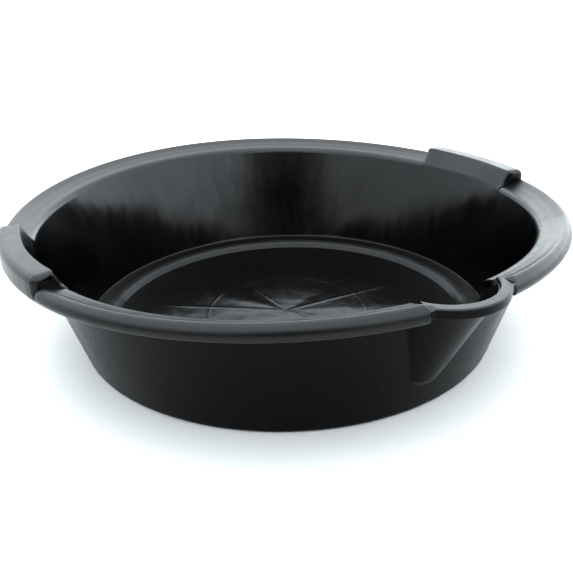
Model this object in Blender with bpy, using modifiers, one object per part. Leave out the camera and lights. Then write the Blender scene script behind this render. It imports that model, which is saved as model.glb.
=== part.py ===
"""Round oil drain pan, 400 mm across: a flared bowl, a rolled rim, two raised hand grips and a pouring spout.

The frame: origin on the ground at the middle of the base, +Z up, the spout at -Y, the grips at +X and -X.
The real pan is one moulding. Its regions are modelled as separate pieces that meet across a hairline gap.
"""
import math

import bmesh
import bpy
from mathutils import Matrix, Vector

# Driving dimensions, in metres.
RIM_RADIUS = 0.200          # outermost edge of the rolled rim
SKIN = 0.0026               # wall thickness of the moulding
GAP = 0.0003                # hairline between neighbouring pieces
GRIP_TOP = 0.1018           # height of the grips' flat tops before the rim sags
RIM_SAG = 0.0027            # the free rim stands this much low at the grips and high between them
RIM_HEIGHT = 0.0883         # height at which it does

# Base.
FLOOR_TOP = 0.0030
CENTRE_RADIUS = 0.0626      # raised disc in the middle of the floor
CENTRE_STEP = 0.0004
FOOT_INNER = 0.1355         # where the floor slopes up to a raised ring inside the wall
STEP_OUTER = 0.1437         # the slope's upper end
STEP_TOP = 0.0076
FOOT_TOP = 0.0140
CORNER_RADIUS = 0.0040      # outer corner between base and wall

# Wall: its outer face is a cone, WALL_BASE wide at the ground and flaring by WALL_FLARE per unit height.
WALL_BASE = 0.1552
WALL_FLARE = 0.295
WALL_TOP = 0.0840

# Rolled rim: its skin follows the wall up to a rounded inner edge and a sloping ledge, then rolls over.
RIM_EDGE_START = 0.0850     # height where the wall's slope ends and the inner edge's rounding begins
RIM_EDGE_RADIUS = 0.0060
RIM_TOP_SLOPE = 24.0        # degrees above level, on the ledge between the inner edge and the roll
ROLL_POINTS = ((0.1845, 0.0899), (0.1870, 0.0909), (0.1896, 0.0918), (0.1920, 0.0932), (0.1938, 0.0943),
               (0.1953, 0.0946), (0.1970, 0.0938), (0.1987, 0.0919), (0.1997, 0.0895), (0.2000, 0.0877),
               (0.1994, 0.0860))

# Grips.
GRIP_HALF_ANGLE = 15.2      # degrees either side of the X axis
GRIP_INNER_EDGE = 0.1855    # radius of the edge between a grip's inner face and its top
GRIP_ROUND = 0.0050         # rounding between a grip's top and its outer face
GRIP_DRAFT = 0.0002         # the outer face leans in by this much at the top

# Spout: a half funnel on the outside of the wall, under a flat lip with a turned-down edge.
SPOUT_HALF_ANGLE = 8.5      # degrees of rim that the spout interrupts on each side
LIP_CENTRE = 0.1722         # distance of the lip's arc centre from the pan's axis
LIP_INNER_RADIUS = 0.0306
LIP_OUTER_RADIUS = 0.0370
LIP_TOP = 0.0927
LIP_BOTTOM = 0.0868
LIP_SWEEP = 150.0           # degrees of arc, before the ends are trimmed along the rim's ends
FUNNEL_LEAN = 0.226         # outward lean of the funnel's axis per unit height
FUNNEL_FLARE = 0.340        # growth of the funnel's radius per unit height
FUNNEL_TIP = 0.0342         # height of the centre of its round tip
FUNNEL_TOP = 0.0898
BESIDE_BOTTOM = 0.0820      # the funnel's sides are trimmed along the rim's ends above this height

# Facets in a full turn, and along the curved parts of the sections.
RING_STEPS = 96
CORNER_STEPS = 4
ROUND_STEPS = 4
TIP_STEPS = 8
SHARP_ANGLE = 35.0          # degrees between facets that still shade as one smooth surface

# Reach of the cutting shapes past the pan.
CUTTER_TOP = 0.1200
CUTTER_BOTTOM = -0.0200
CUTTER_OUT = 0.3000
CUTTER_SIDE = 0.1000

PLASTIC_COLOUR = (0.012, 0.013, 0.014, 1.0)
PLASTIC_ROUGHNESS = 0.38
SHADE_STEP = 0.04           # lightness added from one piece to the next


def clear_scene():
    for obj in list(bpy.data.objects):
        bpy.data.objects.remove(obj)


def collection(name):
    group = bpy.data.collections.new(name)
    bpy.context.scene.collection.children.link(group)
    return group


def plastic(name, lightness):
    """Black moulded plastic; lightness scales its colour a little, to tell neighbouring pieces apart."""
    material = bpy.data.materials.new(name)
    material.use_nodes = True
    shader = material.node_tree.nodes["Principled BSDF"]
    red, green, blue, alpha = PLASTIC_COLOUR
    shader.inputs["Base Color"].default_value = (red * lightness, green * lightness, blue * lightness, alpha)
    shader.inputs["Roughness"].default_value = PLASTIC_ROUGHNESS
    shader.inputs["Metallic"].default_value = 0.0
    return material


def wall_radius(height):
    """Outer radius of the wall's cone at a height."""
    return WALL_BASE + WALL_FLARE * height


def wall_angle():
    return math.atan(WALL_FLARE)


def wall_across():
    """Horizontal distance through the wall, which leans."""
    return SKIN / math.cos(wall_angle())


def arc(centre, radii, start, stop, count):
    """Points on an ellipse arc in the (radius, height) plane, from start to stop in degrees."""
    points = []
    for step in range(count + 1):
        angle = math.radians(start + (stop - start) * step / count)
        points.append((centre[0] + radii[0] * math.cos(angle), centre[1] + radii[1] * math.sin(angle)))
    return points


def link(obj, group):
    group.objects.link(obj)
    return obj


def outline_object(name, points, closed, group):
    """An edge outline in the XZ plane, ready for a Screw modifier."""
    edges = [(index, index + 1) for index in range(len(points) - 1)]
    if closed:
        edges.append((len(points) - 1, 0))
    mesh = bpy.data.meshes.new(name)
    mesh.from_pydata([(radius, 0.0, height) for radius, height in points], edges, [])
    return link(bpy.data.objects.new(name, mesh), group)


def add_screw(obj, sweep_degrees):
    screw = obj.modifiers.new("turn", "SCREW")
    screw.axis = "Z"
    screw.angle = math.radians(sweep_degrees)
    screw.steps = max(3, round(RING_STEPS * sweep_degrees / 360.0))
    screw.render_steps = screw.steps
    screw.use_merge_vertices = sweep_degrees == 360.0
    screw.merge_threshold = 0.00005
    screw.use_smooth_shade = True


def add_skin(obj, thickness):
    """Thickness behind the visible face."""
    solidify = obj.modifiers.new("skin", "SOLIDIFY")
    solidify.thickness = thickness
    solidify.offset = -1.0
    solidify.use_even_offset = True


def turned_solid(name, points, group):
    """A closed outline turned right round the Z axis."""
    obj = outline_object(name, points, True, group)
    add_screw(obj, 360.0)
    return obj


def turned_shell(name, points, start, stop, group):
    """An open outline, the visible face, turned from start to stop and given the skin's thickness."""
    obj = outline_object(name, points, False, group)
    obj.rotation_euler.z = math.radians(start)
    add_screw(obj, stop - start)
    add_skin(obj, SKIN)
    return obj


def box(name, low, high, group):
    mesh = bpy.data.meshes.new(name)
    shape = bmesh.new()
    size = Vector(high) - Vector(low)
    place = Matrix.Translation((Vector(high) + Vector(low)) / 2) @ Matrix.Diagonal((*size, 1.0))
    bmesh.ops.create_cube(shape, size=1.0, matrix=place)
    shape.to_mesh(mesh)
    shape.free()
    return link(bpy.data.objects.new(name, mesh), group)


def as_cutter(obj):
    obj.hide_render = True
    obj.display_type = "WIRE"
    return obj


def cut(obj, cutter, operation="DIFFERENCE"):
    boolean = obj.modifiers.new("cut", "BOOLEAN")
    boolean.operation = operation
    boolean.solver = "EXACT"
    boolean.object = cutter


def settle(obj):
    """Replace an object's modifiers by their result, with its mesh in world coordinates."""
    bpy.context.view_layer.update()
    graph = bpy.context.evaluated_depsgraph_get()
    mesh = bpy.data.meshes.new_from_object(obj.evaluated_get(graph))
    mesh.transform(obj.matrix_world)
    mesh.name = obj.name
    obj.modifiers.clear()
    obj.data = mesh
    obj.matrix_world = Matrix.Identity(4)
    return obj


def sag(obj):
    """Bend a settled piece with the free rim: low at the grips, high between them, and flat at the ground."""
    shape = bmesh.new()
    shape.from_mesh(obj.data)
    bmesh.ops.triangulate(shape, faces=shape.faces)
    for vertex in shape.verts:
        bearing = math.atan2(vertex.co.y, vertex.co.x)
        share = (vertex.co.z / RIM_HEIGHT) ** 2
        vertex.co.z -= RIM_SAG * share * math.cos(2.0 * bearing)
    shape.to_mesh(obj.data)
    shape.free()


def foot_outline():
    """Section of the foot ring: flat underside, small outer corner, wall stub, raised ring and slope."""
    lean = wall_angle()
    corner_x = (WALL_BASE * math.cos(lean) - CORNER_RADIUS * (1.0 - math.sin(lean))) / math.cos(lean)
    corner_centre = (corner_x, CORNER_RADIUS)
    corner = arc(corner_centre, (CORNER_RADIUS, CORNER_RADIUS), -90.0, -math.degrees(lean), CORNER_STEPS)
    points = [(FOOT_INNER, 0.0)] + corner + [(wall_radius(FOOT_TOP), FOOT_TOP)]
    points += [(wall_radius(height) - wall_across(), height) for height in (FOOT_TOP, STEP_TOP)]
    points += [(STEP_OUTER, STEP_TOP), (FOOT_INNER, FLOOR_TOP)]
    return list(reversed(points))


def rim_outline():
    """Visible face of the rim, from the top of the bowl's wall over the roll to its free lower edge."""
    low, high = WALL_TOP + GAP, RIM_EDGE_START
    across, lean = wall_across(), wall_angle()
    centre = (wall_radius(high) - across + RIM_EDGE_RADIUS * math.cos(lean),
              high - RIM_EDGE_RADIUS * math.sin(lean))
    radii = (RIM_EDGE_RADIUS, RIM_EDGE_RADIUS)
    edge = arc(centre, radii, 180.0 - math.degrees(lean), 90.0 + RIM_TOP_SLOPE, ROUND_STEPS)
    return [(wall_radius(low) - across, low)] + edge + list(ROLL_POINTS)


def grip_outline():
    """Visible face of a grip: a taller, squarer section that starts and ends where the rim's does."""
    rim = rim_outline()
    foot, lower_edge = rim[:2], rim[-2:]
    corner = (RIM_RADIUS - GRIP_DRAFT - GRIP_ROUND, GRIP_TOP - GRIP_ROUND)
    rounded = arc(corner, (GRIP_ROUND, GRIP_ROUND), 90.0, 0.0, ROUND_STEPS)
    return foot + [(GRIP_INNER_EDGE, GRIP_TOP)] + rounded + lower_edge


def funnel(name, thicker, group):
    """A round-tipped cone leaning out along -Y; thicker grows it from the inner face to the outer one."""
    flare = math.atan(FUNNEL_FLARE)
    top_radius = LIP_INNER_RADIUS + thicker + FUNNEL_FLARE * (CUTTER_TOP - LIP_TOP)
    tip_radius = (LIP_INNER_RADIUS + thicker - FUNNEL_FLARE * (LIP_TOP - FUNNEL_TIP)) * math.cos(flare)
    tip = arc((0.0, FUNNEL_TIP), (tip_radius, tip_radius), -math.degrees(flare), -90.0, TIP_STEPS)
    obj = outline_object(name, [(0.0, CUTTER_TOP), (top_radius, CUTTER_TOP)] + tip, False, group)
    add_screw(obj, 360.0)
    settle(obj)
    lean = Matrix.Identity(4)
    lean[1][2] = -FUNNEL_LEAN
    centre_at_lip = LIP_CENTRE - FUNNEL_LEAN * LIP_TOP
    obj.data.transform(Matrix.Translation((0.0, -centre_at_lip, 0.0)) @ lean)
    return obj


def wall_core(name, clearance, top, group):
    """Everything inside the wall's outer face, which runs on upward, to a height."""
    low = CUTTER_BOTTOM
    mesh = bpy.data.meshes.new(name)
    shape = bmesh.new()
    place = Matrix.Translation((0.0, 0.0, (low + top) / 2))
    bmesh.ops.create_cone(shape, cap_ends=True, segments=RING_STEPS, radius1=wall_radius(low) + clearance,
                          radius2=wall_radius(top) + clearance, depth=top - low, matrix=place)
    shape.to_mesh(mesh)
    shape.free()
    return link(bpy.data.objects.new(name, mesh), group)


def make_floor(group):
    inner, outer = CENTRE_RADIUS + GAP, FOOT_INNER - GAP
    panel = [(inner, FLOOR_TOP), (outer, FLOOR_TOP), (outer, 0.0), (inner, 0.0)]
    disc_top = FLOOR_TOP + CENTRE_STEP
    disc = [(0.0, disc_top), (CENTRE_RADIUS, disc_top), (CENTRE_RADIUS, 0.0), (0.0, 0.0)]
    floor_panel = turned_solid("floor_panel", panel, group)
    floor_centre = outline_object("floor_centre", disc, False, group)
    add_screw(floor_centre, 360.0)
    return [floor_panel, floor_centre]


def make_foot(group):
    return turned_solid("foot_ring", foot_outline(), group)


def make_wall(funnel_inside, group):
    low, high = FOOT_TOP + GAP, WALL_TOP
    outer_high = high - SKIN * math.sin(wall_angle())
    across = wall_across()
    section = [(wall_radius(outer_high), outer_high), (wall_radius(low), low),
               (wall_radius(low) - across, low), (wall_radius(high) - across, high)]
    wall = turned_solid("bowl_wall", section, group)
    cut(wall, funnel_inside)
    return wall


def beside_spout(name, bottom, cutters):
    """The space past both of the rim's ends at the spout, above a height."""
    gap_angle = math.degrees(GAP / RIM_RADIUS)
    sides = []
    for side in (-1, 1):
        beside = box(name, (0.0, -CUTTER_OUT, bottom), (CUTTER_SIDE, 0.0, CUTTER_TOP), cutters)
        if side < 0:
            beside.data.transform(Matrix.Diagonal((-1.0, 1.0, 1.0, 1.0)))
            beside.data.flip_normals()
        beside.rotation_euler.z = math.radians(side * (SPOUT_HALF_ANGLE - gap_angle))
        sides.append(as_cutter(beside))
    return sides


def make_trough(funnel_inside, core, group, cutters):
    """The funnel's half that stands outside the wall."""
    trough = funnel("spout_trough", SKIN, group)
    low, high = (-CUTTER_SIDE, -CUTTER_OUT, FUNNEL_TOP), (CUTTER_SIDE, 0.0, 2.0 * CUTTER_TOP)
    above = as_cutter(box("above_trough", low, high, cutters))
    for cutter in [core, above, funnel_inside] + beside_spout("beside_trough", BESIDE_BOTTOM, cutters):
        cut(trough, cutter)
    return trough


def make_lip(group, cutters):
    """The flat lip round the spout's mouth, with its turned-down outer edge."""
    face = [(LIP_INNER_RADIUS, LIP_TOP), (LIP_OUTER_RADIUS, LIP_TOP), (LIP_OUTER_RADIUS, LIP_BOTTOM)]
    lip = turned_shell("spout_lip", face, 270.0 - LIP_SWEEP / 2, 270.0 + LIP_SWEEP / 2, group)
    lip.location.y = -LIP_CENTRE
    for cutter in beside_spout("beside_lip", 0.0, cutters):
        cut(lip, cutter)
    return lip


def make_rim(group):
    """Three stretches of rolled rim between the grips and the spout."""
    gap_angle = math.degrees(GAP / RIM_RADIUS)
    grip = GRIP_HALF_ANGLE + gap_angle
    stretches = {
        "rim_back": (grip, 180.0 - grip),
        "rim_front_left": (180.0 + grip, 270.0 - SPOUT_HALF_ANGLE),
        "rim_front_right": (270.0 + SPOUT_HALF_ANGLE, 360.0 - grip),
    }
    return [turned_shell(name, rim_outline(), *span, group) for name, span in stretches.items()]


def make_grips(group):
    pieces = []
    for name, bearing in (("right_grip", 0.0), ("left_grip", 180.0)):
        start, stop = bearing - GRIP_HALF_ANGLE, bearing + GRIP_HALF_ANGLE
        pieces.append(turned_shell(name, grip_outline(), start, stop, group))
    return pieces


def main():
    clear_scene()
    parts = collection("oil_drain_pan")
    cutters = collection("cutters")
    funnel_inside = as_cutter(funnel("funnel_inside", 0.0, cutters))
    core = as_cutter(wall_core("inside_wall", GAP, CUTTER_TOP, cutters))

    pieces = make_floor(parts)
    pieces.append(make_foot(parts))
    pieces.append(make_wall(funnel_inside, parts))
    pieces.append(make_trough(funnel_inside, core, parts, cutters))
    pieces.append(make_lip(parts, cutters))
    pieces += make_rim(parts)
    pieces += make_grips(parts)

    for piece in pieces:
        settle(piece)
    for index, piece in enumerate(pieces):
        sag(piece)
        piece.data.materials.clear()
        piece.data.materials.append(plastic(piece.name + "_plastic", 1.0 + SHADE_STEP * index))
        piece.data.shade_smooth()
        piece.data.set_sharp_from_angle(angle=math.radians(SHARP_ANGLE))


main()
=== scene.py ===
"""Looks of the round oil drain pan: fine meshes in the CAD frame, black moulded plastic, studio light.

Lengths are in metres. The pan is one moulding, so most neighbouring pieces meet on straight parts of its
section, where their shading agrees.
"""

import math

import bmesh
import bpy
from mathutils import Matrix, Vector


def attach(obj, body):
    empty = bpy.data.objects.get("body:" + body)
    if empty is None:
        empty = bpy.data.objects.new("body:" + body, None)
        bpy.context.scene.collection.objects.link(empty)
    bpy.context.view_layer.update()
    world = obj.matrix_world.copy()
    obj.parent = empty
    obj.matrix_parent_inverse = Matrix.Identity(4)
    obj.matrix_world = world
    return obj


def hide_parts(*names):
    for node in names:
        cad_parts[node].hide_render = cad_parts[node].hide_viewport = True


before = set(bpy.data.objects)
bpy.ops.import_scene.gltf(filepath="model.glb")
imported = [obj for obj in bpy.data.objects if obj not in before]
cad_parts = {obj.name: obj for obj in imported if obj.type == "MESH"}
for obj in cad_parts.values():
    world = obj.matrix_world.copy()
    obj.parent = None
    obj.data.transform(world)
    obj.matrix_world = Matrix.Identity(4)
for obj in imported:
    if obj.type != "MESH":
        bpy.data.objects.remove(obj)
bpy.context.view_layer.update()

# The moulding. The CAD has the same values, apart from these: the rim and the lip stay 0.1 mm inside its
# circles, the trough's top is 0.7 mm higher and meets the lip, and four points of the roll are moved by up to
# 0.17 mm, which smooths it. The grips' knee and crest, the funnel's reach and blends, and the values of the
# search for the wall's radius are this script's own.
RIM_RADIUS = 0.1999
SKIN = 0.0026
RIM_SAG = 0.0027            # the free rim stands this much low at the grips and high between them
RIM_HEIGHT = 0.0883
FLOOR_TOP = 0.0030
CENTRE_RADIUS = 0.0626
CENTRE_STEP = 0.0004
FOOT_INNER = 0.1355         # where the floor slopes up to a raised ring inside the wall
STEP_OUTER = 0.1437         # the slope's upper end
STEP_TOP = 0.0076
FOOT_TOP = 0.0140
CORNER_RADIUS = 0.0040
WALL_BASE = 0.1552
WALL_FLARE = 0.295
WALL_TOP = 0.0840
RIM_EDGE_START = 0.0850
RIM_EDGE_RADIUS = 0.0060
RIM_TOP_SLOPE = 24.0
ROLL_POINTS = ((0.1845, 0.0899), (0.1870, 0.09092), (0.1896, 0.0919), (0.1920, 0.09313), (0.1938, 0.09413),
               (0.1953, 0.0946), (0.1970, 0.0938), (0.1987, 0.0919), (0.1997, 0.0895), (RIM_RADIUS, 0.0877),
               (0.1994, 0.0860))
GRIP_TOP = 0.1018
GRIP_HALF_ANGLE = 15.2
GRIP_INNER_EDGE = 0.1855
GRIP_ROUND = 0.0050
GRIP_DRAFT = 0.0002
GRIP_KNEE = 0.0870          # height where a grip's inner face leaves the wall
GRIP_CREST = 0.0009         # rounding between a grip's inner face and its top
SPOUT_HALF_ANGLE = 8.5
LIP_CENTRE = 0.1722
LIP_INNER_RADIUS = 0.0306
LIP_OUTER_RADIUS = 0.0369
LIP_TOP = 0.0927
LIP_BOTTOM = 0.0868
FUNNEL_LEAN = 0.226
FUNNEL_FLARE = 0.340
FUNNEL_TIP = 0.0342
FUNNEL_TOP = 0.0905
FUNNEL_REACH = 15.0         # degrees either side of the spout's middle where the funnel shapes the wall
FUNNEL_BLEND = 0.0006       # softness of the crease between funnel and wall
INNER_BLEND = 0.0080        # the same on the inside
SOLVE_START = 0.045         # the search for the wall's radius starts this far outside the cone
SOLVE_STEPS = 60
SOLVE_SHARE = 0.9
SOLVE_ENOUGH = 1e-7

# Small shapes that only the visible model has.
EDGE_ROUND = 0.0006         # rounding of the ends of the rim's stretches
HOOD_ROUND = 0.00002        # the grips' middles meet their rounded ends flush
LIP_BRINK = ((-0.0003, 0.0009), (0.0, 0.0003), (0.0005, 0.0), (0.0010, 0.0))    # its inner edge, out and down
LIP_BACK = (0.0012, 0.0006)     # its hidden side at the trough, out and down
LIP_STEPS = 72
FREE_ROUND = 0.0011         # rounding of the lip's edges
ROOT_ROUND = 0.0012         # inner corner between the raised ring and the wall
STEP_ROUND = 0.0010         # edge between the raised ring and its slope
SLOPE_BOW = 0.0007          # the slope stands this much full of a straight line
SLOPE_STEPS = 8
CREASES = (-3.0, 92.8, 141.7, 214.0, 287.0)     # bearings of the floor's shallow radial folds, in degrees
CREASE_HEIGHTS = (0.00022, 0.00010, 0.00016, 0.00008, 0.00012)
CREASE_WIDTH = 0.0014
CREASE_REACH = 60.0         # degrees to either side, which keeps a fold off the floor's far half
RELIEF_START = 0.02         # radius where the folds and swellings are full
RELIEF_END = 0.128          # radius where they are gone, after fading over the last RELIEF_FADE
RELIEF_FADE = 0.03
FACETS = ((-28.0, 13.0, 0.0009), (18.0, 11.0, -0.0007), (55.0, 16.0, 0.0008), (96.0, 12.0, -0.0006),
          (121.0, 12.0, 0.0012), (160.0, 14.0, -0.0008), (196.0, 13.0, 0.0009), (250.0, 15.0, -0.0009),
          (300.0, 12.0, 0.0008))      # bearing, half width and lift at the edge of each soft radial swelling
BEAD_HEIGHT = 0.00012
BEAD_WIDTH = 0.0011
FLOOR_STEPS = 90
FLOOR_TURN = 0.75           # degrees
POLE_RADIUS = 0.0006        # small flat disc at the middle of the floor
FLAT_EDGE = 0.0005          # outermost strip of the floor, level with the foot of the slope

END_RISE = 0.0001           # the rim's ends at the spout start this much above the lip
END_SLOPE = 0.75            # and slant up by this much per unit length
END_BLEND = 0.0006
END_REACH = 2.0             # degrees of fine sections at such an end
CORNER_RADIUS_OUT = 0.1994  # at the rim's ends the lip's skirt follows the rim's circle this far out
SKIRT_SHARE = 0.8           # of the skin's thickness, from the outside, that is carried out with it
CORNER_FALLS = (0.55, 0.12)     # and its top edge falls by this share of that, at the left and right ends
WEB_LOW = 0.0866            # lower edge of the webs that close the rim's ends at the spout
WEB_RECESS = 0.02           # degrees from the rim's end to the web
WEB_TURN = 0.8              # degrees of web
WEB_DEPTH = 0.6             # of the skin's thickness, from its visible face to the web's edge
WEB_DROP = 0.0004           # the web's top stays this much under the slanted end
WEB_LAP = 0.0005            # and its foot laps this much over the wall
WEB_STEP = 0.1880           # inside this radius they reach down to the wall
GRIP_END_TURN = 1.6         # degrees of each grip's end that are a solid, rounded piece
GRIP_END_ROUND = 0.0042
GRIP_END_LOW = 0.0880       # the rounding starts above this height
GRIP_END_STEPS = 8

TURN_STEP = 1.0             # degrees between sections
FINE_STEP = 0.25            # near the spout
WALL_STEPS = 64             # rings of faces up the wall
TROUGH_STEPS = 70
SHARP_ANGLE = 50.0          # degrees between faces that still shade as one smooth surface
PLASTIC_IOR = 1.46
PLASTIC_COLOURS = ((0.0004, 0.00045, 0.0005, 1.0), (0.0010, 0.0011, 0.0013, 1.0))
CLOUDS = (22.0, 4.0, 1.0)   # a noise's scale, detail, and how its scale changes upward
STREAKS = (150.0, 3.0, 0.06)
GRAIN = (1500.0, 2.0, 1.0)
RIPPLES = (30.0, 2.0, 0.22)
NOISE_RANGE = (0.3, 0.7)    # most of a noise's values lie between these
RIPPLE_HEIGHT = 0.0012
STREAK_HEIGHT = 0.00025
STREAK_SHARE = 0.4          # strength of the streaks, as a share of the ripples'
GRAIN_HEIGHT = 0.00003
GRAIN_SHARE = 0.18
STREAK_ROUGHNESS = (-0.02, 0.04)
# The wall's inside is glossy and wavy, its outside reflects least as painted shade, and the rim and grips are
# the roughest.
INNER_FINISH, OUTER_PAINTED_SHADE, FLOOR_FINISH, RIM_FINISH = range(4)
FINISHES = (("plastic_inner_half", 0.5, (0.13, 0.20), 0.55),    # name, specular level, roughness, waviness
            ("plastic_outer_painted_shade", 0.20, (0.22, 0.30), 0.10),
            ("plastic_floor", 0.30, (0.13, 0.20), 0.55),
            ("plastic_rim", 0.5, (0.28, 0.35), 0.08))
RIM_FINISH_START = 0.0880
OUTWARD_FACING = 0.3        # faces of the wall that turn further out than this get the outside's painted shade
INWARD_FACING = -0.6        # faces that turn further in than this have the inside's


def wall_radius(height):
    return WALL_BASE + WALL_FLARE * height


LEAN = math.atan(WALL_FLARE)
ACROSS = SKIN / math.cos(LEAN)


def place(radius, bearing, height):
    """A point from its radius, bearing in degrees and height, bent with the free rim's sag."""
    angle = math.radians(bearing)
    drop = RIM_SAG * (height / RIM_HEIGHT) ** 2 * math.cos(2.0 * angle)
    return Vector((radius * math.cos(angle), radius * math.sin(angle), height - drop))


def arc(centre, radius, start, stop, count):
    points = []
    for step in range(count + 1):
        angle = math.radians(start + (stop - start) * step / count)
        points.append((centre[0] + radius * math.cos(angle), centre[1] + radius * math.sin(angle)))
    return points


def line(start, stop, count):
    """Points from start towards stop, without the last one."""
    return [tuple(a + (b - a) * step / count for a, b in zip(start, stop)) for step in range(count)]


def curve(points, steps):
    """A smooth curve through the points (Catmull-Rom), with so many steps between neighbours."""
    padded = [points[0]] + list(points) + [points[-1]]
    found = []
    for index in range(1, len(padded) - 2):
        p0, p1, p2, p3 = padded[index - 1:index + 3]
        for step in range(steps):
            t = step / steps
            found.append(tuple(
                0.5 * (2 * b + (c - a) * t + (2 * a - 5 * b + 4 * c - d) * t * t
                       + (3 * b - a - 3 * c + d) * t ** 3)
                for a, b, c, d in zip(p0, p1, p2, p3)))
    return found + [points[-1]]


def normals(points, closed):
    """Unit normals to the left of the way along a flat outline."""
    found = []
    last = len(points) - 1
    for index, (x, y) in enumerate(points):
        before = points[index - 1] if index or closed else points[0]
        after = points[0 if closed else last] if index == last else points[index + 1]
        dx, dy = after[0] - before[0], after[1] - before[1]
        size = math.hypot(dx, dy) or 1.0
        found.append((-dy / size, dx / size))
    return found


def moved(points, distance, closed):
    """An outline moved sideways, to the left of the way along it."""
    return [(x + nx * distance, y + ny * distance)
            for (x, y), (nx, ny) in zip(points, normals(points, closed))]


def skin_section(face):
    """Closed section of the skin behind a visible face, with a rounded free edge at the face's end."""
    back = moved(face, -SKIN, False)
    (x0, y0), (x1, y1) = face[-1], back[-1]
    middle = ((x0 + x1) / 2, (y0 + y1) / 2)
    start = math.degrees(math.atan2(y0 - middle[1], x0 - middle[0]))
    edge = arc(middle, SKIN / 2, start, start - 180.0, 8)[1:-1]
    return face + edge + list(reversed(back))


def new_object(name, vertices, faces):
    mesh = bpy.data.meshes.new(name)
    mesh.from_pydata(vertices, [], faces)
    mesh.validate()
    shell = bmesh.new()
    shell.from_mesh(mesh)
    bmesh.ops.recalc_face_normals(shell, faces=shell.faces)
    shell.to_mesh(mesh)
    shell.free()
    mesh.shade_smooth()
    mesh.set_sharp_from_angle(angle=math.radians(SHARP_ANGLE))
    obj = bpy.data.objects.new(name, mesh)
    bpy.context.scene.collection.objects.link(obj)
    return obj


def skinned(name, rings, closed):
    """A body through rings of points, each a closed loop; the ends are capped unless it closes on itself."""
    count = len(rings[0])
    vertices = [point for ring in rings for point in ring]
    faces = []
    spans = len(rings) if closed else len(rings) - 1
    for index in range(spans):
        a, b = index * count, ((index + 1) % len(rings)) * count
        for step in range(count):
            following = (step + 1) % count
            faces.append((a + step, b + step, b + following, a + following))
    if not closed:
        faces.append(tuple(range(count)))
        faces.append(tuple(range((len(rings) - 1) * count, len(rings) * count))[::-1])
    return new_object(name, vertices, faces)


def bearings(start, stop, step=TURN_STEP):
    count = max(1, math.ceil((stop - start) / step - 1e-6))
    return [start + (stop - start) * index / count for index in range(count + 1)]


def swept(name, section, start, stop, spout_end=None, rounding=EDGE_ROUND):
    """A section turned about the pan's axis from start to stop, its end edges rounded.

    Where it ends at the spout, its top slants down to the lip.
    """
    turn = math.degrees(rounding / RIM_RADIUS)

    def ring_at(bearing, points):
        ring = []
        for x, y in points:
            if spout_end is not None:
                along = RIM_RADIUS * math.radians(abs(bearing - spout_end))
                y = soft_min(y, LIP_TOP + END_RISE + END_SLOPE * along, END_BLEND)
            ring.append(place(x, bearing, y))
        return ring

    rings = []
    for angle in (90.0, 60.0, 30.0):
        inset = rounding * (1.0 - math.cos(math.radians(angle)))
        advance = turn * (1.0 - math.sin(math.radians(angle)))
        rings.append((start + advance, moved(section, -inset, True)))
    inner = bearings(start + turn, stop - turn)
    if spout_end is not None:
        inner = [bearing for bearing in inner if abs(bearing - spout_end) > END_REACH]
        near = bearings(turn, END_REACH, FINE_STEP / 2)
        fine = [spout_end + (step if spout_end == start else -step) for step in near]
        inner = fine + inner if spout_end == start else inner + fine[::-1]
    outer = [(start + stop - bearing, points) for bearing, points in reversed(rings)]
    every = rings + [(bearing, section) for bearing in inner] + outer
    return skinned(name, [ring_at(bearing, points) for bearing, points in every], False)


def rim_face():
    """The rim's visible face: up from the wall, round the inner edge, over the ledge and the roll."""
    low, high = WALL_TOP, RIM_EDGE_START
    centre = (wall_radius(high) - ACROSS + RIM_EDGE_RADIUS * math.cos(LEAN),
              high - RIM_EDGE_RADIUS * math.sin(LEAN))
    edge = arc(centre, RIM_EDGE_RADIUS, 180.0 - math.degrees(LEAN), 90.0 + RIM_TOP_SLOPE, 8)
    rise = line((wall_radius(low) - ACROSS, low), edge[0], 4)
    return rise + edge[:-1] + curve([edge[-1]] + list(ROLL_POINTS), 4)


def grip_face():
    """A grip's visible face: up from the wall, over its flat top and down its outside."""
    low = WALL_TOP
    foot = (wall_radius(low) - ACROSS, low)
    knee = (wall_radius(GRIP_KNEE) - ACROSS, GRIP_KNEE)
    top = (GRIP_INNER_EDGE, GRIP_TOP)
    rise = math.atan2(top[1] - knee[1], top[0] - knee[0])
    centre = (top[0] + GRIP_CREST * math.tan(rise / 2), top[1] - GRIP_CREST)
    shoulder = arc(centre, GRIP_CREST, 90.0 + math.degrees(rise), 90.0, 5)
    corner = (RIM_RADIUS - GRIP_DRAFT - GRIP_ROUND, GRIP_TOP - GRIP_ROUND)
    rounded = arc(corner, GRIP_ROUND, 90.0, 0.0, 14)
    below = [ROLL_POINTS[-2], ROLL_POINTS[-1]]
    face = line(foot, knee, 3) + line(knee, shoulder[0], 10) + shoulder
    face += line(shoulder[-1], rounded[0], 6)[1:] + rounded
    return face + line(rounded[-1], below[0], 6)[1:] + below


def horizontal_gap(x, y, height, thicker):
    """How far outside the funnel's surface a point is, about."""
    flare = math.atan(FUNNEL_FLARE)
    axis = -(LIP_CENTRE + FUNNEL_LEAN * (height - LIP_TOP))
    across = math.hypot(x, y - axis)
    tip_radius = (LIP_INNER_RADIUS + thicker - FUNNEL_FLARE * (LIP_TOP - FUNNEL_TIP)) * math.cos(flare)
    if height < FUNNEL_TIP - tip_radius * math.sin(flare):
        return math.hypot(across, height - FUNNEL_TIP) - tip_radius
    return across - (LIP_INNER_RADIUS + thicker + FUNNEL_FLARE * (height - LIP_TOP))


def soft_min(a, b, blend):
    share = max(blend - abs(a - b), 0.0) / blend
    return min(a, b) - share * share * blend / 4.0


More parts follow.
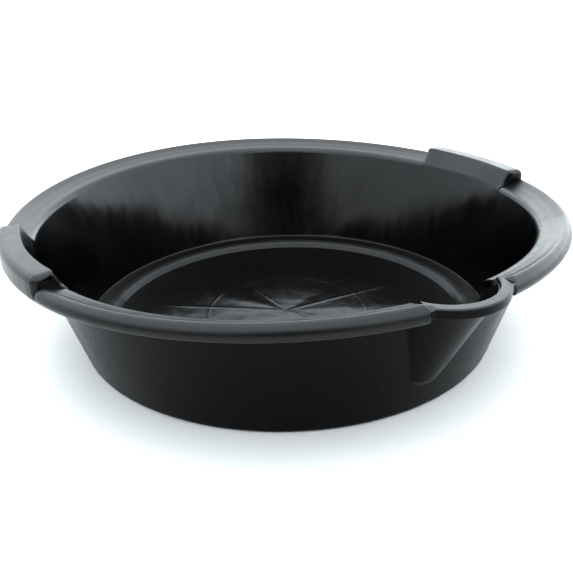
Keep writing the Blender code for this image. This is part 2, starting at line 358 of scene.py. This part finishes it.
def funnel_radius(from_middle, height, inner):
    """Radius of the wall and funnel together, so many degrees from the spout's middle."""
    cone = wall_radius(height) - (ACROSS if inner else 0.0)
    angle = math.radians(from_middle)
    thicker = 0.0 if inner else SKIN
    radius = cone + SOLVE_START
    for _ in range(SOLVE_STEPS):
        x, y = radius * math.sin(angle), -radius * math.cos(angle)
        gap = soft_min(radius - cone, horizontal_gap(x, y, height, thicker),
                       INNER_BLEND if inner else FUNNEL_BLEND)
        radius -= gap * SOLVE_SHARE
        if gap < SOLVE_ENOUGH:
            break
    return radius


def wall_rings(angles, low, high, steps):
    """Rings round the wall's section at each bearing, shaped by the funnel where it is near."""
    rings = []
    heights = [low + (high - low) * step / steps for step in range(steps + 1)]
    for bearing in angles:
        from_middle = (bearing - 270.0 + 180.0) % 360.0 - 180.0
        outer, inner = [], []
        for height in heights:
            if abs(from_middle) <= FUNNEL_REACH:
                outer.append((funnel_radius(from_middle, height, False), height))
                inner.append((funnel_radius(from_middle, height, True), height))
            else:
                outer.append((wall_radius(height), height))
                inner.append((wall_radius(height) - ACROSS, height))
        rings.append([place(x, bearing, y) for x, y in reversed(outer)]
                     + [place(x, bearing, y) for x, y in inner])
    return rings


def rounded_corner(before, corner, after, radius, count):
    """Points that round a corner of an outline off."""
    into = Vector(before) - Vector(corner)
    out = Vector(after) - Vector(corner)
    half = into.angle(out) / 2
    setback = radius / math.tan(half)
    into.normalize()
    out.normalize()
    centre = Vector(corner) + (into + out).normalized() * (radius / math.sin(half))
    start, stop = Vector(corner) + into * setback, Vector(corner) + out * setback
    points = []
    for step in range(count + 1):
        spoke = (start - centre).lerp(stop - centre, step / count)
        points.append(tuple(centre + spoke.normalized() * radius))
    return points


def foot_section():
    """Closed section of the base's outer part: corner, wall stub, raised ring and the slope to the floor."""
    lean = math.degrees(LEAN)
    corner_x = (WALL_BASE * math.cos(LEAN) - CORNER_RADIUS * (1.0 - math.sin(LEAN))) / math.cos(LEAN)
    corner = arc((corner_x, CORNER_RADIUS), CORNER_RADIUS, -90.0, -lean, 10)
    top = (wall_radius(FOOT_TOP), FOOT_TOP)
    inside = (top[0] - ACROSS, FOOT_TOP)
    root = (wall_radius(STEP_TOP) - ACROSS, STEP_TOP)
    edge, low = (STEP_OUTER, STEP_TOP), (FOOT_INNER, FLOOR_TOP)
    at_root = rounded_corner(inside, root, edge, ROOT_ROUND, 5)
    at_edge = rounded_corner(root, edge, low, STEP_ROUND, 5)
    section = line((FOOT_INNER, 0.0), corner[0], 6) + corner[:-1]
    section += line(corner[-1], top, 6) + [top]
    section += line(inside, at_root[0], 4) + at_root
    section += line(at_root[-1], at_edge[0], 5)[1:] + at_edge
    bowed = []
    for index, (x, y) in enumerate(line(at_edge[-1], low, SLOPE_STEPS)[1:]):
        bowed.append((x, y + SLOPE_BOW * math.sin(math.pi * (index + 1) / SLOPE_STEPS)))
    return section + bowed + [low]


def floor_height(x, y):
    """The floor's shallow relief: plates between radial folds, and a bead round the middle."""
    radius, bearing = math.hypot(x, y), math.degrees(math.atan2(y, x)) % 360.0
    rise = 0.0
    fade = min(1.0, radius / RELIEF_START) * max(0.0, min(1.0, (RELIEF_END - radius) / RELIEF_FADE))
    for crease, height in zip(CREASES, CREASE_HEIGHTS):
        away = (bearing - crease + 180.0) % 360.0 - 180.0
        if abs(away) < CREASE_REACH:
            across = radius * math.sin(math.radians(away))
            rise += height * fade * math.exp(-(across / CREASE_WIDTH) ** 2)
    for facet, width, lift in FACETS:
        away = (bearing - facet + 180.0) % 360.0 - 180.0
        rise += lift * fade * math.exp(-(away / width) ** 2) * radius / FOOT_INNER
    rise += BEAD_HEIGHT * math.exp(-((radius - CENTRE_RADIUS) / BEAD_WIDTH) ** 2)
    rise += CENTRE_STEP * math.exp(-(radius / CENTRE_RADIUS) ** 6)
    return FLOOR_TOP + rise


def floor_body(name, inner, outer):
    """A ring or disc of floor with its relief on top and a flat underside."""
    start = inner if inner else POLE_RADIUS
    radii = [start + (outer - start) * step / FLOOR_STEPS for step in range(FLOOR_STEPS + 1)]
    rings = []
    for bearing in bearings(0.0, 360.0, FLOOR_TURN)[:-1]:
        angle = math.radians(bearing)
        top = []
        for radius in radii:
            x, y = radius * math.cos(angle), radius * math.sin(angle)
            flat = radius > FOOT_INNER - FLAT_EDGE
            top.append(Vector((x, y, FLOOR_TOP if flat else floor_height(x, y))))
        rings.append(top + [Vector((outer * math.cos(angle), outer * math.sin(angle), 0.0)),
                            Vector((start * math.cos(angle), start * math.sin(angle), 0.0))])
    body = skinned(name, rings, True)
    if inner:
        return body
    # A disc has no hole: the hole's side goes, and its two edges are closed.
    count = len(rings[0])
    vertices = [vertex.co.copy() for vertex in body.data.vertices]
    faces = [tuple(face.vertices) for face in body.data.polygons]
    faces = [face for face in faces if not {0, count - 1} <= {index % count for index in face}]
    faces.append(tuple(index * count for index in range(len(rings)))[::-1])
    faces.append(tuple(index * count + count - 1 for index in range(len(rings))))
    bpy.data.objects.remove(body)
    return new_object(name, vertices, faces)


def lip_section():
    """Closed section of the lip, as distances from the centre of its arc and heights."""
    inner, out = LIP_INNER_RADIUS, LIP_OUTER_RADIUS
    r, half = FREE_ROUND, SKIN / 2
    foot = (inner - FUNNEL_FLARE * (LIP_TOP - FUNNEL_TOP), FUNNEL_TOP)
    brink = [(inner + across, LIP_TOP - down) for across, down in LIP_BRINK]
    section = line(foot, brink[0], 3) + brink[:-1]
    section += line(brink[-1], (out - r, LIP_TOP), 5)
    section += arc((out - r, LIP_TOP - r), r, 90.0, 0.0, 7)
    section += line((out, LIP_TOP - r), (out, LIP_BOTTOM + r), 6)[1:]
    section += arc((out - half, LIP_BOTTOM + half), half, 0.0, -180.0, 10)
    hidden_corner = (out - SKIN, LIP_TOP - SKIN)
    section += line((out - SKIN, LIP_BOTTOM + half), hidden_corner, 3)[1:]
    section += line(hidden_corner, (inner + LIP_BACK[0], FUNNEL_TOP - LIP_BACK[1]), 3)
    return section


def make_lip():
    """The lip follows an arc about its own centre, and ends on the planes of the rim's ends."""
    plane = math.radians(SPOUT_HALF_ANGLE)
    off = LIP_CENTRE * math.sin(plane)
    section = lip_section()
    rings = []
    for step in range(LIP_STEPS + 1):
        share = 2.0 * step / LIP_STEPS - 1.0
        ring = []
        for radius, height in section:
            turn = share * (plane + math.asin(off / radius))
            x, y = radius * math.sin(turn), -LIP_CENTRE - radius * math.cos(turn)
            out = math.hypot(x, y)
            carried = max(0.0, CORNER_RADIUS_OUT - (LIP_OUTER_RADIUS - radius) - out)
            if radius > LIP_OUTER_RADIUS - SKIRT_SHARE * SKIN:
                out += carried
                if height > LIP_TOP - SKIN:
                    height -= CORNER_FALLS[share > 0.0] * carried
            ring.append(place(out, math.degrees(math.atan2(y, x)), height))
        rings.append(ring)
    return skinned("pouring_lip", rings, False)


def make_end_web(name, bearing, turn):
    """Closes the hollow of the rolled rim where it ends at the spout."""
    top = LIP_TOP + END_RISE - WEB_DROP
    hidden = [(x, min(y, top)) for x, y in moved(rim_face(), -SKIN * WEB_DEPTH, False)]
    loop = [point for point in hidden if point[1] > WEB_LOW]
    loop += [(loop[-1][0], WEB_LOW), (WEB_STEP, WEB_LOW)]
    loop += [(WEB_STEP, WALL_TOP - WEB_LAP), (hidden[0][0], WALL_TOP - WEB_LAP)]
    rings = [[place(x, bearing + turn * share, y) for x, y in loop] for share in (0.0, 0.5, 1.0)]
    return skinned(name, rings if turn > 0 else rings[::-1], False)


def make_grip_end(name, start, stop):
    """A grip's closed end: its section made solid, turned from start and rounded off at stop."""
    section = grip_face()
    outward = 1.0 if stop > start else -1.0
    rings = [[place(x, bearing, y) for x, y in section]
             for bearing in (start, stop - outward * math.degrees(GRIP_END_ROUND / RIM_RADIUS))]
    for step in range(1, GRIP_END_STEPS + 1):
        angle = math.radians(90.0 * step / GRIP_END_STEPS)
        back = GRIP_END_ROUND * (1.0 - math.sin(angle))
        inset = GRIP_END_ROUND * (1.0 - math.cos(angle))
        bearing = stop - outward * math.degrees(back / RIM_RADIUS)
        ring = []
        for (x, y), (nx, ny) in zip(section, normals(section, True)):
            share = min(1.0, max(0.0, (y - GRIP_END_LOW) / GRIP_END_ROUND))
            ring.append(place(x - nx * inset * share, bearing, y - ny * inset * share))
        rings.append(ring)
    return skinned(name, rings, False)


def ridden(obj, *nodes):
    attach(obj, "root")
    if nodes:
        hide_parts(*nodes)
    return obj


def moulded_plastic(name, gloss, roughness, waviness):
    """Black moulded polyolefin: satin, a little wavy, with a faint drawn grain down the walls."""
    material = bpy.data.materials.new(name)
    material.use_nodes = True
    tree = material.node_tree
    shader = tree.nodes["Principled BSDF"]
    add, join = tree.nodes.new, tree.links.new

    coordinates = add("ShaderNodeTexCoord")

    def noise(scale, detail, upward):
        mapping = add("ShaderNodeMapping")
        mapping.inputs["Scale"].default_value = (1.0, 1.0, upward)
        join(coordinates.outputs["Object"], mapping.inputs["Vector"])
        texture = add("ShaderNodeTexNoise")
        texture.inputs["Scale"].default_value = scale
        texture.inputs["Detail"].default_value = detail
        join(mapping.outputs["Vector"], texture.inputs["Vector"])
        return texture.outputs["Fac"]

    def ranged(value, low, high):
        node = add("ShaderNodeMapRange")
        for key, number in zip(("From Min", "From Max", "To Min", "To Max"), (*NOISE_RANGE, low, high)):
            node.inputs[key].default_value = number
        join(value, node.inputs["Value"])
        return node.outputs["Result"]

    clouds, streaks, grain, ripples = (noise(*numbers) for numbers in (CLOUDS, STREAKS, GRAIN, RIPPLES))

    rough = add("ShaderNodeMath")
    rough.operation = "ADD"
    join(ranged(clouds, *roughness), rough.inputs[0])
    join(ranged(streaks, *STREAK_ROUGHNESS), rough.inputs[1])
    join(rough.outputs["Value"], shader.inputs["Roughness"])

    mix = add("ShaderNodeMix")
    mix.data_type = "RGBA"
    mix.inputs["A"].default_value, mix.inputs["B"].default_value = PLASTIC_COLOURS
    join(ranged(clouds, 0.0, 1.0), mix.inputs["Factor"])
    join(mix.outputs["Result"], shader.inputs["Base Color"])
    shader.inputs["IOR"].default_value = PLASTIC_IOR
    shader.inputs["Specular IOR Level"].default_value = gloss

    def bumped(height, strength, distance, below=None):
        bump = add("ShaderNodeBump")
        bump.inputs["Strength"].default_value = strength
        bump.inputs["Distance"].default_value = distance
        join(height, bump.inputs["Height"])
        if below:
            join(below, bump.inputs["Normal"])
        return bump.outputs["Normal"]

    normal = bumped(ripples, waviness, RIPPLE_HEIGHT)
    normal = bumped(streaks, waviness * STREAK_SHARE, STREAK_HEIGHT, normal)
    normal = bumped(grain, waviness * GRAIN_SHARE, GRAIN_HEIGHT, normal)
    join(normal, shader.inputs["Normal"])
    return material


def pale_floor():
    material = bpy.data.materials.new("pale_floor")
    material.use_nodes = True
    shader = material.node_tree.nodes["Principled BSDF"]
    shader.inputs["Base Color"].default_value = (*FLOOR_COLOUR, 1.0)
    shader.inputs["Roughness"].default_value = FLOOR_ROUGHNESS
    shader.inputs["Specular IOR Level"].default_value = FLOOR_SPECULAR
    return material


def finish_at(face, outer_top):
    """Which finish a face has, from where it is and which way it turns; outward faces get painted shade."""
    x, y, z = face.center
    facing = (face.normal.x * x + face.normal.y * y) / max(math.hypot(x, y), POLE_RADIUS)
    before_sag = z + RIM_SAG * (z / RIM_HEIGHT) ** 2 * math.cos(2.0 * math.atan2(y, x))
    # Outward faces below outer_top get the copy of the plastic that reflects least: painted shade.
    if facing > OUTWARD_FACING and before_sag < outer_top:
        return OUTER_PAINTED_SHADE
    if facing > INWARD_FACING and before_sag > RIM_FINISH_START:
        return RIM_FINISH
    return FLOOR_FINISH if z < STEP_TOP + ROOT_ROUND else INNER_FINISH


def build_pan():
    pieces = []
    pieces.append(ridden(floor_body("floor_middle", 0.0, CENTRE_RADIUS), "floor_centre"))
    pieces.append(ridden(floor_body("floor_plates", CENTRE_RADIUS, FOOT_INNER), "floor_panel"))
    foot = foot_section()
    turn = bearings(0.0, 360.0)[:-1]
    rings = [[place(x, bearing, y) for x, y in foot] for bearing in turn]
    pieces.append(ridden(skinned("base_ring", rings, True), "foot_ring"))

    half = SPOUT_HALF_ANGLE
    left, right = 270.0 - half, 270.0 + half
    reach = FUNNEL_REACH - half
    around = bearings(right, right + reach, FINE_STEP)[:-1]
    around += bearings(right + reach, left + 360.0 - reach)[:-1]
    around += bearings(left + 360.0 - reach, left + 360.0, FINE_STEP)
    wall = skinned("bowl_side", wall_rings(around, FOOT_TOP, WALL_TOP, WALL_STEPS), False)
    pieces.append(ridden(wall, "bowl_wall"))
    trough = wall_rings(bearings(left, right, FINE_STEP), FOOT_TOP, FUNNEL_TOP, TROUGH_STEPS)
    pieces.append(ridden(skinned("pouring_trough", trough, False), "spout_trough"))
    pieces.append(ridden(make_lip(), "spout_lip"))

    rim = skin_section(rim_face())
    grip = skin_section(grip_face())
    spans = {
        "rim_back": (GRIP_HALF_ANGLE, 180.0 - GRIP_HALF_ANGLE),
        "rim_front_left": (180.0 + GRIP_HALF_ANGLE, left),
        "rim_front_right": (right, 360.0 - GRIP_HALF_ANGLE),
    }
    for name, span in spans.items():
        spout_end = {"rim_front_left": left, "rim_front_right": right}.get(name)
        pieces.append(ridden(swept(name + "_roll", rim, *span, spout_end), name))
    grips = (("right_grip", 0.0), ("left_grip", 180.0))
    half_span = GRIP_HALF_ANGLE - GRIP_END_TURN
    for name, middle in grips:
        span = (middle - half_span, middle + half_span)
        pieces.append(ridden(swept(name + "_hood", grip, *span, rounding=HOOD_ROUND), name))
    pieces.append(ridden(make_end_web("rim_end_left", left - WEB_RECESS, -WEB_TURN)))
    pieces.append(ridden(make_end_web("rim_end_right", right + WEB_RECESS, WEB_TURN)))

    for name, middle in grips:
        for side in (-1, 1):
            end = make_grip_end(f"{name}_end_{side + 2}", middle + side * half_span,
                                middle + side * GRIP_HALF_ANGLE)
            pieces.append(ridden(end))

    materials = [moulded_plastic(*finish) for finish in FINISHES]
    for piece in pieces:
        for material in materials:
            piece.data.materials.append(material)
        # The outside's painted shade reaches up to this height.
        outer_top = LIP_TOP - FREE_ROUND if piece.name == "pouring_lip" else WALL_TOP
        for face in piece.data.polygons:
            face.material_index = finish_at(face, outer_top)


def aimed(location, target):
    """Rotation that points an object's -Z from location at target."""
    return (Vector(target) - Vector(location)).to_track_quat("-Z", "Y").to_euler()


def softbox(name, location, target, size, radiance):
    """An area light that shows this radiance."""
    data = bpy.data.lights.new(name, "AREA")
    data.shape = "RECTANGLE"
    data.size, data.size_y = size
    data.energy = radiance * math.pi * size[0] * size[1]
    obj = bpy.data.objects.new(name, data)
    obj.location = location
    obj.rotation_euler = aimed(location, target)
    bpy.context.scene.collection.objects.link(obj)
    return obj


CAMERA_PLACE = (-0.2433, -0.4282, 0.2534)
CAMERA_TURN = -29.6
CAMERA_TILT = 65.04
CAMERA_ROLL = -1.56
CAMERA_LENS = 43.60
CAMERA_BEARING = math.degrees(math.atan2(CAMERA_PLACE[1], CAMERA_PLACE[0]))

FLOOR_HALF = 6.0
FLOOR_CLEARANCE = 0.0002
FLOOR_COLOUR = (0.52, 0.52, 0.52)
FLOOR_ROUGHNESS = 0.8
FLOOR_SPECULAR = 0.2

OVERHEAD_PLACE = (0.0, 0.1, 1.5)
OVERHEAD_SIZE = (1.6, 1.6)
OVERHEAD_RADIANCE = 0.5     # on top of the studio behind it

# The studio is bright all round, with a dark gap about the camera, a slightly dimmer band above level and one
# dimmer side.
STUDIO_LIGHT = 3.0
STUDIO_TINT = (0.91, 0.965, 1.0, 1.0)
GAP_DARK = 9.0              # degrees from the camera's side to where the gap starts to lighten
GAP_LIGHT = 34.0            # and to where it is fully lit
GAP_SHARE = 0.01            # of the studio's light, left in the gap
BAND_RISE = (0.32, 0.42)    # heights on a unit sphere where the dimmer band starts, and is full
BAND_FALL = (0.70, 0.90)
BAND_SIDE = (0.10, 0.50)    # how far round towards the camera it starts, and is full
BAND_SHARE = 0.05           # how much darker it is
LOW_LIGHT = (0.30, 0.42)    # below this height one side of the studio is dimmer
LOW_SIDE = (-0.2, 0.3)      # how far round to that side the dimming starts, and is full
LOW_SHARE = 0.40            # how much dimmer it is
HORIZON_TILT = 0.262        # the lit part starts this much above level on the camera's side
HORIZON_FADE = (-0.012, 0.015)
HORIZON_SHARE = 0.03        # of the studio's light, left below it


def studio_world():
    world = bpy.data.worlds.new("studio")
    bpy.context.scene.world = world
    world.use_nodes = True
    tree = world.node_tree
    background = tree.nodes["Background"]
    way = tree.nodes.new("ShaderNodeTexCoord").outputs["Generated"]
    bearing = math.radians(CAMERA_BEARING)

    def toward(direction):
        node = tree.nodes.new("ShaderNodeVectorMath")
        node.operation = "DOT_PRODUCT"
        node.inputs[1].default_value = direction
        tree.links.new(way, node.inputs[0])
        return node.outputs["Value"]

    def ramp(value, start, stop, low, high):
        node = tree.nodes.new("ShaderNodeMapRange")
        node.interpolation_type = "SMOOTHSTEP"
        for key, number in (("From Min", start), ("From Max", stop), ("To Min", low), ("To Max", high)):
            node.inputs[key].default_value = number
        tree.links.new(value, node.inputs["Value"])
        return node.outputs["Result"]

    def math_node(how, first, second):
        node = tree.nodes.new("ShaderNodeMath")
        node.operation = how
        for slot, value in zip(node.inputs, (first, second)):
            if isinstance(value, float):
                slot.default_value = value
            else:
                tree.links.new(value, slot)
        return node.outputs["Value"]

    side = toward((math.cos(bearing), math.sin(bearing), 0.0))
    up = toward((0.0, 0.0, 1.0))
    gap = ramp(side, math.cos(math.radians(GAP_LIGHT)), math.cos(math.radians(GAP_DARK)), 1.0, GAP_SHARE)
    band = math_node("MULTIPLY", ramp(up, *BAND_RISE, 0.0, 1.0), ramp(up, *BAND_FALL, 1.0, 0.0))
    band = math_node("MULTIPLY", band, ramp(side, *BAND_SIDE, 0.0, BAND_SHARE))
    low = ramp(up, *LOW_LIGHT, 1.0, 0.0)
    across = toward((math.sin(bearing), -math.cos(bearing), 0.0))
    dim = math_node("MULTIPLY", low, ramp(across, *LOW_SIDE, 0.0, LOW_SHARE))
    open_share = math_node("MULTIPLY", math_node("SUBTRACT", 1.0, band), math_node("SUBTRACT", 1.0, dim))
    above = toward((-HORIZON_TILT * math.cos(bearing), -HORIZON_TILT * math.sin(bearing), 1.0))
    horizon = ramp(above, *HORIZON_FADE, HORIZON_SHARE, 1.0)
    lit = math_node("MULTIPLY", math_node("MULTIPLY", gap, open_share), horizon)
    strength = math_node("MULTIPLY", lit, STUDIO_LIGHT)
    tree.links.new(strength, background.inputs["Strength"])
    background.inputs["Color"].default_value = STUDIO_TINT


def build_stage():
    corners = [Vector((x * FLOOR_HALF, y * FLOOR_HALF, -FLOOR_CLEARANCE))
               for x, y in ((-1, -1), (1, -1), (1, 1), (-1, 1))]
    floor = new_object("studio_floor", corners, [(0, 1, 2, 3)])
    floor.data.materials.append(pale_floor())
    overhead = softbox("overhead", OVERHEAD_PLACE, (0.0, 0.0, 0.0), OVERHEAD_SIZE, OVERHEAD_RADIANCE)
    studio_world()


def build_camera():
    data = bpy.data.cameras.new("camera")
    data.sensor_width = 36.0
    data.lens = CAMERA_LENS
    camera = bpy.data.objects.new("camera", data)
    bpy.context.scene.collection.objects.link(camera)
    camera.matrix_world = (Matrix.Translation(CAMERA_PLACE)
                           @ Matrix.Rotation(math.radians(CAMERA_TURN), 4, "Z")
                           @ Matrix.Rotation(math.radians(CAMERA_TILT), 4, "X")
                           @ Matrix.Rotation(math.radians(CAMERA_ROLL), 4, "Z"))
    bpy.context.scene.camera = camera
    bpy.context.scene.view_settings.view_transform = "Standard"
    bpy.context.scene.view_settings.look = "High Contrast"


build_pan()
build_stage()
build_camera()
